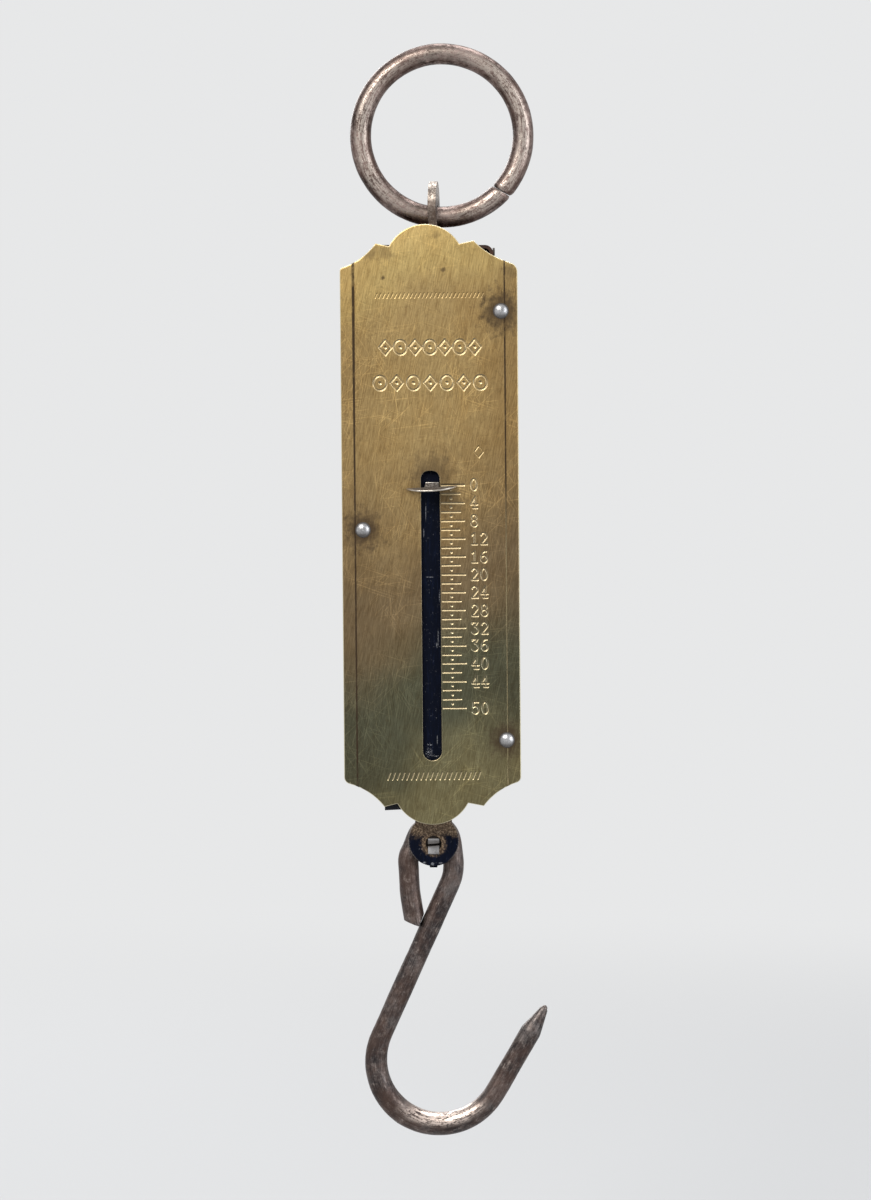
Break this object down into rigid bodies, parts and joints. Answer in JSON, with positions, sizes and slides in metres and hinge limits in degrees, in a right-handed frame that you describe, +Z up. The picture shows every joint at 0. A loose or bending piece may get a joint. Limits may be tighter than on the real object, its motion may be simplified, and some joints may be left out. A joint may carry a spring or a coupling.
{
  "type": "pocket hanging scale",
  "caption": "Hanging spring scale with an upright face plate, a slotted scale with a half-moon pointer, a ring above and a round-bend hook below.",
  "frame": {"origin": "the hanging point: the inside of the ring, straight above the hanger's eye, where a nail or a cord carries it", "axes": "+Z up along the hanging line, +X to the right of a viewer who faces the plate, and the face plate looks towards -Y"},
  "size_m": [0.0507, 0.0224, 0.2676],
  "materials": {
    "brass_plate": "aged satin brass, stamped",
    "ring_steel": "patinated steel wire",
    "hook_steel": "forged steel, worn and patinated",
    "hanger_steel": "dark steel strip",
    "case_iron": "black japanned sheet iron, rusting",
    "guide_iron": "black japanned sheet iron",
    "rivet_steel": "bright domed steel",
    "spring_steel": "dark oiled spring wire",
    "bar_black": "black japanned steel, scuffed",
    "pointer_steel": "bright worn steel",
    "pin_steel": "bright worn steel"
  },
  "bodies": {
    "ring": {"ring": "ring_steel"},
    "case": {"hanger": "hanger_steel", "cross_pin": "pin_steel", "face_plate": "brass_plate", "rear_case": "case_iron", "rivet_upper": "rivet_steel", "rivet_middle": "rivet_steel", "rivet_lower": "rivet_steel", "lower_guide": "guide_iron", "guide_rivet_left": "guide_iron", "guide_rivet_right": "guide_iron", "spring": "spring_steel"},
    "draw": {"spring_foot": "hanger_steel", "draw_bar": "bar_black", "pointer": "pointer_steel", "hook_pin": "pin_steel", "tab_washer": "bar_black"},
    "hook": {"hook": "hook_steel"}
  },
  "joints": [
    {"name": "ring_fold", "type": "hinge", "parent": "ring", "child": "case", "pos_m": [0, 0, -0.03678], "axis": [1, 0, 0], "range_deg": [-88, 120]},
    {"name": "draw_slide", "type": "slide", "parent": "case", "child": "draw", "axis": [0, 0, -1], "range_m": [0, 0.064], "stiffness_N_per_m": 4112, "deforming": ["spring"]},
    {"name": "hook_swing", "type": "hinge", "parent": "draw", "child": "hook", "pos_m": [0, 0, -0.18968], "axis": [0, 1, 0], "range_deg": [-70, 70]}
  ]
}
